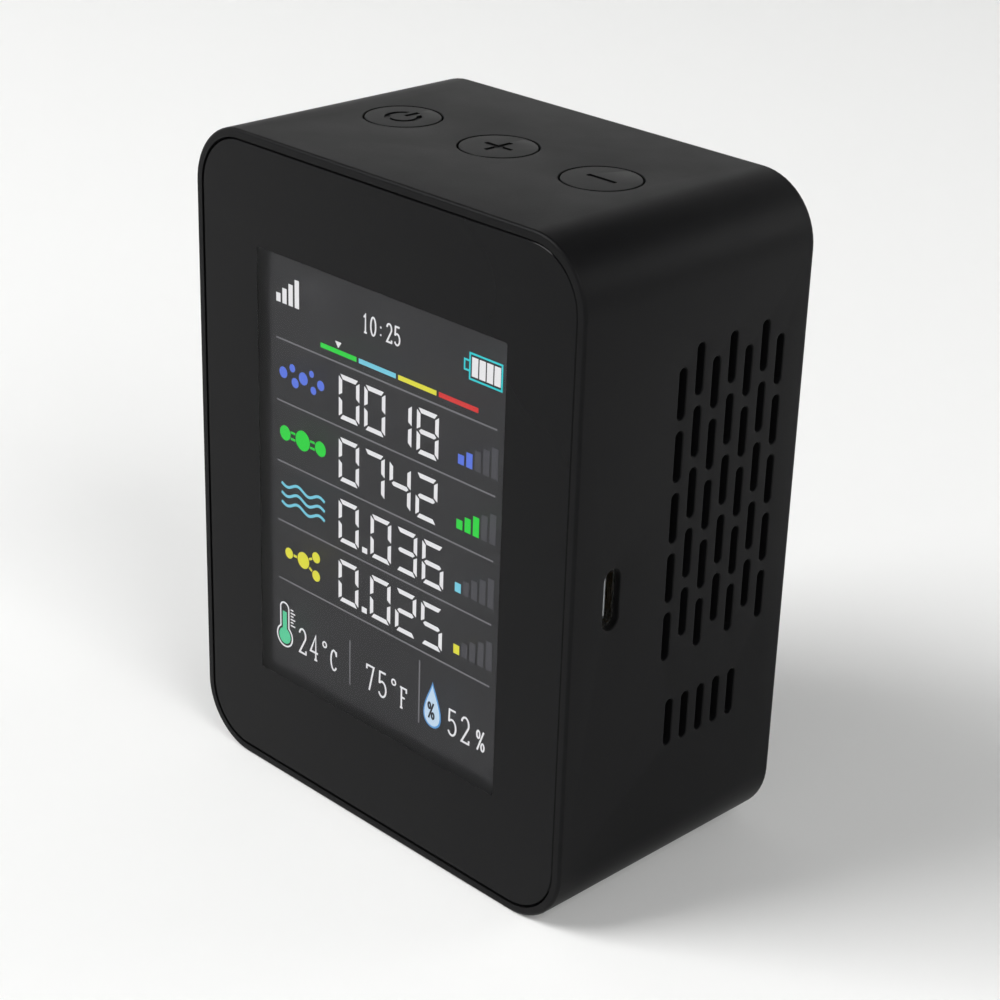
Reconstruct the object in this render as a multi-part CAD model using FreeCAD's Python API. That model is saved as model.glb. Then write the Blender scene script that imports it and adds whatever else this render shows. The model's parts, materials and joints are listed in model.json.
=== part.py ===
"""Desk carbon dioxide monitor: a rounded box with a display in front and three buttons on top.

The origin is the middle of the bottom face. +Z is up, +X is the side with the vents and the
charging socket, and the display faces -Y. All sizes are in millimetres.
"""
import FreeCAD, Part
import math
import os
from FreeCAD import Vector

# ---- case
case_width = 77.0
case_depth = 45.0
case_height = 100.0
corner_radius = 9.6
wall = 2.0
rim_width = 1.3  # wall left around the lens and around the rear cover
rim_fillet = 0.5
back_fillet = 1.0
panel_thickness = 1.5  # inner wall that carries the lens

# ---- lens and display stack, front to back
lens_recess = 0.1
lens_thickness = 1.0
lens_gap = 0.12
lens_chamfer = 0.25
tape_thickness = 0.2
tape_inset = 0.8
gasket_thickness = 0.3
gasket_width = 0.9
display_width = 55.0
display_height = 77.7
display_centre = 50.4
display_gap = 0.3
glass_inset = 0.2
glass_thickness = 1.2
tray_thickness = 1.6
tray_floor = 0.4
tray_wall = 0.8
guide_gap = 0.1
pad_size = (50.0, 8.0)
pad_offset = 19.4  # from the display's middle to each foam pad's middle
flex_width = 30.0
flex_thickness = 0.2
flex_inset = 0.8  # from the front of the tray to the flex
flex_connector = (34.0, 1.2, 4.0)
flex_connector_height = 20.0

# ---- rear cover and its screws
cover_thickness = 2.0
cover_gap = 0.15
cover_recess = 0.1
cover_fillet = 0.3
boss_radius = 3.0
boss_inset = 4.0
cover_screw_length = 8.0
screw_radius = 0.9
screw_head_radius = 2.0
screw_head_height = 1.1
screw_head_fillet = 0.4
screw_head_sink = 0.1
screw_clearance = 0.3
screw_spare = 0.5  # length of pilot hole left under each screw
cross_size = (2.2, 0.5, 0.6)  # cross recess: length, width, depth
rear_slots = 9
rear_slot_rows = (15.0, 83.0)
overrun = 1.0  # how far a cutter starts before and ends after what it cuts
boss_root = 0.5  # how far bosses and posts run into the panel that carries them

# ---- vents on the right side: a staggered field and one straight row under it
slot_length = 7.3
slot_width = 1.5
slot_pitch = 3.3
slot_row_pitch = 8.9
slot_rows = 5
slot_back_margin = 5.9  # from the last column's middle to the back face, at least
slot_stagger = 2.75
slot_first_depth = 19.2  # from the front face to the first column
slot_top = 76.1  # middle of the topmost slot in the first column
low_slot_height = 26.5
slot_edge = 0.2
hole_edge = 0.12

# ---- charging socket
usb_centre_depth = 7.6
usb_height = 50.0
usb_opening = (8.9, 3.1)
usb_shell = (8.94, 3.16, 7.3)
usb_shell_wall = 0.3
usb_mouth = 1.0  # wall left in front of the socket's shell
usb_clearance = 0.3
usb_shell_gap = 0.1  # from the shell's mouth to the wall in front of it
usb_fit = 0.1
usb_tongue = (6.7, 0.7, 4.4)
usb_base = 2.2

# ---- main board
board_thickness = 1.6
board_clearance = 0.5
post_radius = 2.5
post_inset = 5.5
post_height = 16.0
board_screw_length = 5.5

# ---- buttons
cap_diameter = 11.0
cap_spacing = 8.4
cap_gap = 0.3
cap_edge = 0.15
cap_flange = 0.9
flange_thickness = 1.0
flange_clearance = 0.1
cap_stem_radius = 2.0
cap_stem = 2.0
button_travel = 0.35
symbol_depth = 0.25
symbol_stroke = 0.8
power_symbol_radius = 2.3
power_symbol_gap = 1.1  # half the width of the break in the ring
power_stroke = 2.5  # length of the bar in the break
power_stroke_rise = 0.3  # how far it stands out of the ring
sign_length = 5.0
switch_size = 6.0
switch_height = 3.4
plunger_radius = 1.7
plunger_clearance = 0.3
plunger_out = 0.8
plunger_in = 0.8
button_board_thickness = 1.2
button_board_width = 12.0
button_board_end = 4.0  # board left outside the outer switches
button_post_radius = 2.0
button_screw_length = 5.0
ribbon_width = 8.0
ribbon_thickness = 0.3
ribbon_inset = 1.5
ribbon_drop = 4.35  # from the main board's top edge down to the ribbon

# ---- battery
battery = (32.0, 6.5, 52.0)
battery_side_gap = 2.0
battery_centre = 48.0
battery_tape = 0.3
battery_tape_inset = (4.0, 5.0)
battery_round = 2.0
lead_radius = 0.7
lead_pitch = 2.4
lead_bend = 5.0
lead_side = 18.0
lead_height = 82.0

# ---- dust sensor
dust_case = (36.0, 12.0, 38.0)
dust_wall = 1.2
dust_lid = 1.0
dust_stand_off = 3.0
dust_side_gap = 2.0
dust_centre = 58.0
dust_port = (3.0, 5.0, 10.0)  # air ports: from the tray's floor, depth, height
dust_pad = (14.0, 24.0)
dust_pad_side = 8.0  # from the sensor's middle to the pad's
dust_pins = (2.5, 8, 1.27)  # in from the sensor's edge, count, pitch
pin_width = 0.6
rotor_radius = 8.0
rotor_gap = 0.8
rotor_side_gap = 2.0  # from the fan's round passage to the tray's wall
rotor_height = 5.0
rotor_hub = 3.2
rotor_blades = 7
blade_thickness = 0.6
blade_tilt = 38.0
blade_root = 0.6  # how far each blade runs into the hub
blade_shy = 1.2  # by how much a blade is shorter than the fan's height allows
spoke_width = 1.2
shaft_radius = 0.75
bearing_radius = 1.8
bearing_fit = 0.04
bearing_height = 2.4
shaft_start = 0.1
rotor_lift = 0.4  # air under the fan's hub
hub_cap = 1.0  # closed end of the hub above its shaft

# ---- carbon dioxide sensor
co2_chamber = (33.0, 8.0, 20.0)
co2_board_thickness = 1.0
co2_stand_off = 2.5
co2_centre = 24.0
co2_cell_inset = (4.0, 1.0)  # by how much the cell is smaller than its board
co2_cell_chamfer = 0.6
co2_window = (7.0, 12.0, 0.5)
co2_window_side = 8.0
co2_filter_gap = 0.2
co2_pins = (1.2, 5, 2.54)

# ---- components on the main board: distance in from its left edge, height, size
microcontroller = (17.0, 34.0, (10.0, 1.2, 10.0))
radio_board = (11.0, 60.0, (16.0, 0.8, 24.0))
radio_shield = (11.0, 57.0, (13.0, 2.2, 15.0))
crystal = (6.0, 33.0, (4.7, 3.5, 10.5))
battery_socket = (8.0, 2.0, 6.0)
battery_plug = (6.0, 3.0, 4.6)
button_connector = (11.0, 1.6, 3.6)
climate_sensor = (2.5, (3.0, 1.1, 3.0))  # in from the right edge
capacitor_count = 3
capacitor = (8.0, 42.0, 2.5, 6.0)  # first one's place, radius, length
capacitor_pitch = 7.0
formaldehyde_can = (14.0, 19.0, 7.0, 7.0)
voc_can = (28.0, 19.0, 4.6, 5.0)
buzzer_can = (56.0, 83.5, 4.5, 4.5)

# ---- components on the board's front, placed from the charging socket
charger_chip = (9.0, -8.0, (5.0, 1.5, 4.0))  # in from the right edge, above the socket, size
power_inductor = (11.0, 8.0, (6.0, 2.8, 6.0))

front = -case_depth / 2
back = case_depth / 2
right = case_width / 2
inner_x = right - wall
lens_back = lens_recess + lens_thickness
panel_front = lens_back + tape_thickness
panel_back = panel_front + panel_thickness
glass_front = lens_back + gasket_thickness
tray_front = glass_front + glass_thickness
tray_back = tray_front + tray_thickness
board_front = usb_centre_depth + usb_shell[1] / 2
board_back = board_front + board_thickness
cover_inside = case_depth - cover_recess - cover_thickness
boss_x = inner_x - boss_inset
boss_low = wall + boss_inset
board_low = boss_low + boss_radius + 2 * board_clearance
board_high = case_height - board_low
board_side = inner_x - board_clearance
ribbon_height = board_high - ribbon_drop
button_pitch = cap_diameter + cap_spacing
flange_top = case_height - wall - flange_clearance
stem_bottom = flange_top - flange_thickness - cap_stem
button_board_top = stem_bottom - plunger_out - switch_height
dust_front = board_back + dust_stand_off
dust_x = inner_x - dust_side_gap - dust_case[0]
co2_x = inner_x - dust_side_gap - co2_chamber[0]
rotor_x = dust_x + dust_wall + rotor_side_gap + rotor_gap + rotor_radius
rotor_low = dust_front + bearing_height + rotor_lift
shaft_end = rotor_low + rotor_height - hub_cap
slot_columns = 1 + int((case_depth - slot_back_margin - slot_first_depth) / slot_pitch)
low_slots = slot_columns - 2
screw_seat = cover_inside + cover_thickness - screw_head_height - screw_head_sink
usb_shell_mouth = right - usb_mouth - usb_shell_gap


def block(x, y, z):
    """A box from pairs of limits; y counts from the front face backwards."""
    corner = Vector(x[0], front + y[0], z[0])
    return Part.makeBox(x[1] - x[0], y[1] - y[0], z[1] - z[0], corner)


def rod(radius, start, length, direction):
    """A cylinder; the start point's y counts from the front face."""
    base = Vector(start[0], front + start[1], start[2])
    return Part.makeCylinder(radius, length, base, Vector(*direction))


def rounded_outline(width, height, radius, y, centre):
    """A closed wire in a plane y = constant: a rectangle with four round corners."""
    half_w = width / 2
    half_h = height / 2
    edges = []
    corners = [(1, 1, 0), (-1, 1, 90), (-1, -1, 180), (1, -1, 270)]
    ends = []
    for sign_x, sign_z, start in corners:
        cx = sign_x * (half_w - radius)
        cz = centre + sign_z * (half_h - radius)
        points = []
        for angle in (start, start + 45, start + 90):
            a = math.radians(angle)
            points.append(Vector(cx + radius * math.cos(a), y, cz + radius * math.sin(a)))
        edges.append(Part.Arc(*points).toShape())
        ends.append((points[0], points[2]))
    for i in range(4):
        edges.append(Part.LineSegment(ends[i][1], ends[(i + 1) % 4][0]).toShape())
    return Part.Wire(Part.__sortEdges__(edges))


def rounded_slab(width, height, radius, y, centre=case_height / 2):
    """A plate with round corners between two depths behind the front face."""
    outline = rounded_outline(width, height, radius, front + y[0], centre)
    return Part.Face(outline).extrude(Vector(0, y[1] - y[0], 0))


def upright_slot(axis, place, width, length, reach):
    """A cutter with round ends, long in Z, that runs `reach` along +X or +Y from `place`."""
    half = (length - width) / 2
    radius = width / 2
    x, y, z = place
    direction = Vector(*axis)
    side = Vector(axis[1], axis[0], 0) * radius
    low = Vector(x, front + y, z - half)
    high = Vector(x, front + y, z + half)
    down = Vector(0, 0, -radius)
    edges = [
        Part.Arc(low - side, low + down, low + side).toShape(),
        Part.LineSegment(low + side, high + side).toShape(),
        Part.Arc(high + side, high - down, high - side).toShape(),
        Part.LineSegment(high - side, low - side).toShape(),
    ]
    return Part.Face(Part.Wire(edges)).extrude(direction * reach)


def screw(start, length, direction):
    """A pan head screw with a cross recess; `start` is the underside of its head."""
    axis = Vector(*direction)
    base = Vector(start[0], front + start[1], start[2])
    shank = Part.makeCylinder(screw_radius, length, base, axis)
    head = Part.makeCylinder(screw_head_radius, screw_head_height, base, axis * -1)
    top_edges = []
    for edge in head.Edges:
        if abs((edge.CenterOfMass - base).dot(axis) + screw_head_height) < 0.01:
            top_edges.append(edge)
    head = head.makeFillet(screw_head_fillet, top_edges)
    length_across, width, depth = cross_size
    recess = Part.makeBox(length_across, width, screw_head_height, Vector(-length_across / 2, -width / 2, 0))
    across = Part.makeBox(width, length_across, screw_head_height, Vector(-width / 2, -length_across / 2, 0))
    recess = recess.fuse(across)
    turn = FreeCAD.Rotation(Vector(0, 0, 1), axis * -1)
    recess.Placement = FreeCAD.Placement(base - axis * (screw_head_height - depth), turn)
    return shank.fuse(head).cut(recess).removeSplitter()


def mirrored_points(x, low, high):
    """Four corner places from one x and two heights."""
    return [(side * x, z) for side in (-1, 1) for z in (low, high)]


def side_slot_places():
    """Depth and height of every vent slot on the right side."""
    places = []
    for column in range(slot_columns):
        lift = slot_stagger if column % 2 else 0.0
        for row in range(slot_rows):
            depth = slot_first_depth + column * slot_pitch
            places.append((depth, slot_top + lift - row * slot_row_pitch))
    for column in range(low_slots):
        places.append((slot_first_depth + (column + 0.5) * slot_pitch, low_slot_height))
    return places


def make_housing():
    """The one-piece body: four walls, front rim, inner panel, screw bosses and posts."""
    body = rounded_slab(case_width, case_height, corner_radius, (0, case_depth))
    rear_edges = [e for e in body.Edges if abs(e.BoundBox.YMin - back) < 0.01]
    body = body.makeFillet(back_fillet, rear_edges)
    front_edges = [e for e in body.Edges if abs(e.BoundBox.YMax - front) < 0.01]
    body = body.makeFillet(rim_fillet, front_edges)
    radius = corner_radius - wall
    cavity = rounded_slab(case_width - 2 * wall, case_height - 2 * wall, radius, (panel_back, case_depth))
    rim = corner_radius - rim_width
    pocket_size = (case_width - 2 * rim_width, case_height - 2 * rim_width, rim)
    lens_pocket = rounded_slab(*pocket_size, (-overrun, panel_front))
    cover_pocket = rounded_slab(*pocket_size, (cover_inside, case_depth + overrun))
    opening_x = display_width / 2 + display_gap
    opening_z = display_height / 2 + display_gap
    opening = block(
        (-opening_x, opening_x),
        (0, panel_back + overrun),
        (display_centre - opening_z, display_centre + opening_z),
    )
    body = body.cut([cavity, lens_pocket, cover_pocket, opening])
    added = []
    boss_places = mirrored_points(boss_x, boss_low, case_height - boss_low)
    post_places = mirrored_points(inner_x - post_inset, post_height, case_height - post_height)
    root = panel_back - boss_root
    for x, z in boss_places:
        added.append(rod(boss_radius, (x, root, z), cover_inside - root, (0, 1, 0)))
    for x, z in post_places:
        added.append(rod(post_radius, (x, root, z), board_front - root, (0, 1, 0)))
    for side in (-1, 1):
        start = (side * button_pitch / 2, case_depth / 2, button_board_top)
        added.append(rod(button_post_radius, start, case_height - wall / 2 - button_board_top, (0, 0, 1)))
    body = body.fuse(added)
    cuts = []
    for x, z in boss_places:
        start = (x, cover_inside - cover_screw_length, z)
        cuts.append(rod(screw_radius, start, cover_screw_length + overrun, (0, 1, 0)))
    for x, z in post_places:
        depth = board_screw_length - board_thickness
        cuts.append(rod(screw_radius, (x, board_front - depth, z), depth + overrun, (0, 1, 0)))
    for side in (-1, 1):
        start = (side * button_pitch / 2, case_depth / 2, button_board_top - overrun)
        length = button_screw_length - button_board_thickness + overrun
        cuts.append(rod(screw_radius, start, length, (0, 0, 1)))
    through = wall + 2 * overrun
    for i in (-1, 0, 1):
        start = (i * button_pitch, case_depth / 2, case_height - wall - overrun)
        cuts.append(rod(cap_diameter / 2 + cap_gap, start, through, (0, 0, 1)))
    inside = right - wall - overrun
    for depth, height in side_slot_places():
        start = (inside, depth, height)
        cuts.append(upright_slot((1, 0, 0), start, slot_width, slot_length, through))
    start = (inside, usb_centre_depth, usb_height)
    cuts.append(upright_slot((1, 0, 0), start, usb_opening[1], usb_opening[0], through))
    shell_pocket = (usb_shell[1] + 2 * usb_clearance, usb_shell[0] + 2 * usb_clearance)
    cuts.append(upright_slot((1, 0, 0), start, *shell_pocket, wall + overrun - usb_mouth))
    body = body.cut(cuts).removeSplitter()
    return soften_openings(body)


def soften_openings(body):
    """Rounds the outer edges of the vents, the socket opening and the button holes."""
    side_edges = []
    top_edges = []
    for edge in body.Edges:
        box = edge.BoundBox
        on_side = abs(box.XMin - right) < 0.01 and abs(box.XMax - right) < 0.01
        on_top = abs(box.ZMin - case_height) < 0.01 and abs(box.ZMax - case_height) < 0.01
        if on_side and box.YLength < 2 * usb_opening[1] and box.ZLength < 2 * usb_opening[0]:
            side_edges.append(edge)
        if on_top and isinstance(edge.Curve, Part.Circle):
            top_edges.append(edge)
    body = body.makeFillet(slot_edge, side_edges)
    return body.makeFillet(hole_edge, top_edges)


def make_rear_cover():
    """A flat plate that drops into the back rim, with vents and four screw holes."""
    inset = 2 * (rim_width + cover_gap)
    radius = corner_radius - rim_width - cover_gap
    span = (cover_inside, cover_inside + cover_thickness)
    plate = rounded_slab(case_width - inset, case_height - inset, radius, span)
    outer = front + span[1]
    rim_edges = [e for e in plate.Edges if abs(e.BoundBox.YMin - outer) < 0.01]
    plate = plate.makeFillet(cover_fillet, rim_edges)
    cuts = []
    through = cover_thickness + 2 * overrun
    for x, z in mirrored_points(boss_x, boss_low, case_height - boss_low):
        cuts.append(rod(screw_radius + screw_clearance, (x, cover_inside - overrun, z), through, (0, 1, 0)))
        cuts.append(rod(screw_head_radius + screw_clearance, (x, screw_seat, z), cover_thickness, (0, 1, 0)))
    for height in rear_slot_rows:
        for i in range(rear_slots):
            x = (i - (rear_slots - 1) / 2) * slot_pitch
            start = (x, cover_inside - overrun, height)
            cuts.append(upright_slot((0, 1, 0), start, slot_width, slot_length, through))
    return plate.cut(cuts)


def make_cover_screws():
    """Four identical screws in the rear cover's corners."""
    length = cover_screw_length - screw_spare + (screw_seat - cover_inside)
    places = mirrored_points(boss_x, boss_low, case_height - boss_low)
    return Part.makeCompound([screw((x, screw_seat, z), length, (0, -1, 0)) for x, z in places])


def make_front_lens():
    """The clear acrylic front with a chamfered edge; the dark border is printed behind it."""
    inset = 2 * (rim_width + lens_gap)
    radius = corner_radius - rim_width - lens_gap
    plate = rounded_slab(case_width - inset, case_height - inset, radius, (lens_recess, lens_back))
    face = front + lens_recess
    edges = [e for e in plate.Edges if abs(e.BoundBox.YMax - face) < 0.01]
    return plate.makeChamfer(lens_chamfer, edges)


def make_lens_tape():
    """A frame of double-sided tape between the lens and the inner panel."""
    inset = 2 * (rim_width + lens_gap + tape_inset)
    radius = corner_radius - inset / 2
    sheet = rounded_slab(case_width - inset, case_height - inset, radius, (lens_back, panel_front))
    half_x = display_width / 2 + 2 * display_gap
    half_z = display_height / 2 + 2 * display_gap
    hole = block((-half_x, half_x), (0, panel_back), (display_centre - half_z, display_centre + half_z))
    return sheet.cut(hole)


def display_block(y, margin=0.0):
    """A box with the display's outline, less a margin all round."""
    half_x = display_width / 2 - margin
    half_z = display_height / 2 - margin
    return block((-half_x, half_x), y, (display_centre - half_z, display_centre + half_z))


def make_lcd_gasket():
    """A thin foam frame between the lens and the display glass."""
    ring = display_block((lens_back, glass_front), glass_inset)
    return ring.cut(display_block((0, panel_back), glass_inset + gasket_width))


def make_lcd_glass():
    """The display cell: two bonded glass sheets with polarisers."""
    return display_block((glass_front, tray_front), glass_inset)


def make_backlight_tray():
    """The shallow tray that holds the light guide against the glass."""
    tray = display_block((tray_front, tray_back))
    return tray.cut(display_block((tray_front - overrun, tray_back - tray_floor), tray_wall))


def make_light_guide():
    """The clear sheet that spreads the backlight over the display."""
    return display_block((tray_front, tray_back - tray_floor), tray_wall + guide_gap)


def make_lcd_flex():
    """The display's flat cable: out of the tray's lower edge, round, and up to its connector."""
    start = tray_front + flex_inset
    end = board_front - flex_connector[1] / 2
    radius = (end - start) / 2
    tray_low = display_centre - display_height / 2
    turn = tray_low - flex_thickness - radius / 2
    x = (-flex_width / 2, flex_width / 2)
    middle = start + radius
    ring = rod(radius + flex_thickness / 2, (x[0], middle, turn), flex_width, (1, 0, 0))
    ring = ring.cut(rod(radius - flex_thickness / 2, (x[0], middle, turn), flex_width, (1, 0, 0)))
    ring = ring.common(block(x, (0, board_front), (turn - 2 * radius, turn)))
    half = flex_thickness / 2
    riser = block(x, (start - half, start + half), (turn, tray_low))
    connector_low = flex_connector_height - flex_connector[2] / 2
    leg = block(x, (end - half, end + half), (turn, connector_low))
    return ring.fuse([riser, leg]).removeSplitter()


def make_lcd_connector():
    """The socket on the front of the main board that takes the display's flat cable."""
    return on_board_front(0, flex_connector_height, flex_connector)


def make_lcd_pads():
    """Two foam strips that press the display forward from the main board."""
    half_x = pad_size[0] / 2
    half_z = pad_size[1] / 2
    strips = []
    for offset in (-pad_offset, pad_offset):
        middle = display_centre + offset
        strips.append(block((-half_x, half_x), (tray_back, board_front), (middle - half_z, middle + half_z)))
    return Part.makeCompound(strips)


def make_main_board():
    """The main circuit board, parallel to the display, on four posts."""
    plate = block((-board_side, board_side), (board_front, board_back), (board_low, board_high))
    holes = []
    through = board_thickness + 2 * overrun
    for x, z in mirrored_points(inner_x - post_inset, post_height, case_height - post_height):
        holes.append(rod(screw_radius + screw_clearance, (x, board_front - overrun, z), through, (0, 1, 0)))
    return plate.cut(holes)


def make_board_screws():
    """Four screws that hold the main board on its posts."""
    places = mirrored_points(inner_x - post_inset, post_height, case_height - post_height)
    length = board_screw_length - screw_spare
    return Part.makeCompound([screw((x, board_back, z), length, (0, -1, 0)) for x, z in places])


def make_usb_shell():
    """The charging socket's drawn steel shell, open towards the slot in the wall."""
    length = usb_shell[2]
    start = (usb_shell_mouth - length, usb_centre_depth, usb_height)
    outer = upright_slot((1, 0, 0), start, usb_shell[1], usb_shell[0], length)
    inner_size = (usb_shell[1] - 2 * usb_shell_wall, usb_shell[0] - 2 * usb_shell_wall)
    start = (usb_shell_mouth - length + usb_shell_wall, usb_centre_depth, usb_height)
    return outer.cut(upright_slot((1, 0, 0), start, *inner_size, length))


def make_usb_tongue():
    """The socket's insulator: a base block and the contact tongue."""
    floor = usb_shell_mouth - usb_shell[2] + usb_shell_wall
    trim = 2 * usb_shell_wall + usb_fit
    size = (usb_shell[1] - trim, usb_shell[0] - trim)
    base = upright_slot((1, 0, 0), (floor, usb_centre_depth, usb_height), *size, usb_base)
    half_y = usb_tongue[1] / 2
    half_z = usb_tongue[0] / 2
    tongue = block(
        (floor, floor + usb_base + usb_tongue[2]),
        (usb_centre_depth - half_y, usb_centre_depth + half_y),
        (usb_height - half_z, usb_height + half_z),
    )
    return base.fuse(tongue).removeSplitter()


def can(place):
    """A round component on the rear of the main board."""
    side, height, radius, length = place
    return rod(radius, (side - board_side, board_back, height), length, (0, 1, 0))


def chip(place, lift=0.0):
    """A flat component on the rear of the main board."""
    side, height, size = place
    return on_board(side - board_side, height, size, lift)


def front_chip(place):
    """A component on the front of the main board, near the charging socket."""
    side, above, size = place
    return on_board_front(board_side - side, usb_height + above, size)


def on_board(x, z, size, lift=0.0):
    """A block on the rear of the main board; size is width, thickness, height."""
    near = board_back + lift
    return block(
        (x - size[0] / 2, x + size[0] / 2),
        (near, near + size[1]),
        (z - size[2] / 2, z + size[2] / 2),
    )


def on_board_front(x, z, size):
    """A block on the front of the main board."""
    return block(
        (x - size[0] / 2, x + size[0] / 2),
        (board_front - size[1], board_front),
        (z - size[2] / 2, z + size[2] / 2),
    )


def make_capacitors():
    """Round capacitors in a row."""
    side, height, radius, length = capacitor
    row = [can((side + i * capacitor_pitch, height, radius, length)) for i in range(capacitor_count)]
    return Part.makeCompound(row)


def make_battery_leads():
    """Two insulated leads from the top of the battery to its plug, each with one round bend."""
    start_depth = cover_inside - battery_tape - battery[1] / 2
    start_height = battery_centre + battery[2] / 2
    end_depth = board_back + battery_socket[1] + battery_plug[1]
    leads = []
    for side in (-0.5, 0.5):
        x = -lead_side + side * lead_pitch
        middle = Vector(x, front + start_depth - lead_bend, lead_height - lead_bend)
        diagonal = lead_bend * math.sqrt(0.5)
        bottom = Vector(x, front + start_depth, start_height)
        up = Vector(x, front + start_depth, lead_height - lead_bend)
        crest = middle + Vector(0, diagonal, diagonal)
        over = Vector(x, front + start_depth - lead_bend, lead_height)
        end = Vector(x, front + end_depth, lead_height)
        path = Part.Wire(
            [
                Part.LineSegment(bottom, up).toShape(),
                Part.Arc(up, crest, over).toShape(),
                Part.LineSegment(over, end).toShape(),
            ]
        )
        section = Part.Wire(Part.makeCircle(lead_radius, bottom, Vector(0, 0, 1)))
        leads.append(path.makePipeShell([section], True, True))
    return Part.makeCompound(leads)


def make_battery_pouch():
    """A flat lithium polymer pouch stuck to the inside of the rear cover."""
    near = cover_inside - battery_tape - battery[1]
    x = (-inner_x + battery_side_gap, -inner_x + battery_side_gap + battery[0])
    z = (battery_centre - battery[2] / 2, battery_centre + battery[2] / 2)
    pouch = block(x, (near, near + battery[1]), z)
    long_edges = [e for e in pouch.Edges if e.BoundBox.ZLength > battery[2] - 1]
    return pouch.makeFillet(battery_round, long_edges)


def make_battery_tape():
    """The double-sided pad between the battery and the rear cover."""
    inset_x, inset_z = battery_tape_inset
    near_x = -inner_x + battery_side_gap
    half_z = battery[2] / 2 - inset_z
    z = (battery_centre - half_z, battery_centre + half_z)
    x = (near_x + inset_x, near_x + battery[0] - inset_x)
    return block(x, (cover_inside - battery_tape, cover_inside), z)


def rotor_air_hole(start, length):
    """The round air passage in line with the fan."""
    return rod(rotor_radius + rotor_gap, (rotor_x, start, dust_centre), length, (0, 1, 0))


def make_dust_sensor_case():
    """The dust sensor's tray, with an air inlet and outlet towards the side vents."""
    x = (dust_x, dust_x + dust_case[0])
    z = (dust_centre - dust_case[2] / 2, dust_centre + dust_case[2] / 2)
    depth = dust_case[1] - dust_lid
    tray = block(x, (dust_front, dust_front + depth), z)
    inner_x_range = (x[0] + dust_wall, x[1] - dust_wall)
    inner_z = (z[0] + dust_wall, z[1] - dust_wall)
    tray = tray.cut(block(inner_x_range, (dust_front + dust_wall, dust_front + dust_case[1]), inner_z))
    port_x = (x[1] - 2 * dust_wall, x[1] + overrun)
    port_y = (dust_front + dust_port[0], dust_front + dust_port[0] + dust_port[1])
    half_port = dust_port[2] / 2
    for middle in (dust_centre - dust_case[2] / 4, dust_centre + dust_case[2] / 4):
        tray = tray.cut(block(port_x, port_y, (middle - half_port, middle + half_port)))
    start = (rotor_x, dust_front - overrun, dust_centre)
    hole = rod(bearing_radius, start, dust_wall + 2 * overrun, (0, 1, 0))
    return tray.cut(hole)


def make_dust_sensor_lid():
    """The dust sensor's lid, with the fan's air hole and three spokes across it."""
    x = (dust_x, dust_x + dust_case[0])
    z = (dust_centre - dust_case[2] / 2, dust_centre + dust_case[2] / 2)
    near = dust_front + dust_case[1] - dust_lid
    lid = block(x, (near, near + dust_lid), z)
    lid = lid.cut(rotor_air_hole(near - overrun, dust_lid + 2 * overrun))
    spokes = []
    for i in range(3):
        half = spoke_width / 2
        spoke = block((0, rotor_radius + 2 * rotor_gap), (near, near + dust_lid), (-half, half))
        spoke.rotate(Vector(0, 0, 0), Vector(0, 1, 0), 90 + 120 * i)
        spoke.translate(Vector(rotor_x, 0, dust_centre))
        spokes.append(spoke)
    spokes.append(rod(rotor_hub, (rotor_x, near, dust_centre), dust_lid, (0, 1, 0)))
    return lid.fuse(spokes).removeSplitter()


def make_fan_bearing():
    """The sleeve bearing pressed into the floor of the dust sensor's tray."""
    sleeve = rod(bearing_radius, (rotor_x, dust_front, dust_centre), bearing_height, (0, 1, 0))
    start = (rotor_x, dust_front - overrun, dust_centre)
    bore = rod(shaft_radius + bearing_fit, start, bearing_height + 2 * overrun, (0, 1, 0))
    return sleeve.cut(bore)


def make_fan_shaft():
    """The steel shaft that turns with the fan."""
    start = dust_front + shaft_start
    return rod(shaft_radius, (rotor_x, start, dust_centre), shaft_end - start, (0, 1, 0))


def make_fan_rotor():
    """The fan: a hub on the shaft and a ring of tilted blades."""
    near = rotor_low
    blades = []
    reach = rotor_radius - rotor_hub + blade_root
    chord = rotor_height / math.cos(math.radians(blade_tilt)) - blade_shy
    corner = Vector(rotor_hub - blade_root, -chord / 2, -blade_thickness / 2)
    for i in range(rotor_blades):
        blade = Part.makeBox(reach, chord, blade_thickness, corner)
        blade.rotate(Vector(0, 0, 0), Vector(1, 0, 0), blade_tilt)
        blade.rotate(Vector(0, 0, 0), Vector(0, 1, 0), i * 360 / rotor_blades)
        blade.translate(Vector(rotor_x, front + near + rotor_height / 2, dust_centre))
        blades.append(blade)
    hub = rod(rotor_hub, (rotor_x, near, dust_centre), rotor_height, (0, 1, 0))
    outside = rod(rotor_radius, (rotor_x, near, dust_centre), rotor_height, (0, 1, 0))
    fan = hub.fuse(blades).common(outside)
    start = (rotor_x, near - overrun, dust_centre)
    bore = rod(shaft_radius, start, shaft_end - near + overrun, (0, 1, 0))
    return fan.cut(bore)


def make_dust_sensor_pad():
    """The foam pad that stands the dust sensor off the main board."""
    middle = dust_x + dust_case[0] / 2 + dust_pad_side
    return on_board(middle, dust_centre, (dust_pad[0], dust_stand_off, dust_pad[1]))


def pins(edge, z, row_values, length):
    """A row of square pins between the main board and a sensor whose left edge is given."""
    inset, count, pitch = row_values
    row = []
    for i in range(count):
        height = z + (i - (count - 1) / 2) * pitch
        row.append(on_board(edge + inset, height, (pin_width, length, pin_width)))
    return Part.makeCompound(row)


def make_co2_sensor_board():
    """The carbon dioxide sensor's own small board."""
    middle = co2_x + co2_chamber[0] / 2
    return on_board(middle, co2_centre, (co2_chamber[0], co2_board_thickness, co2_chamber[2]), co2_stand_off)


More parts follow.
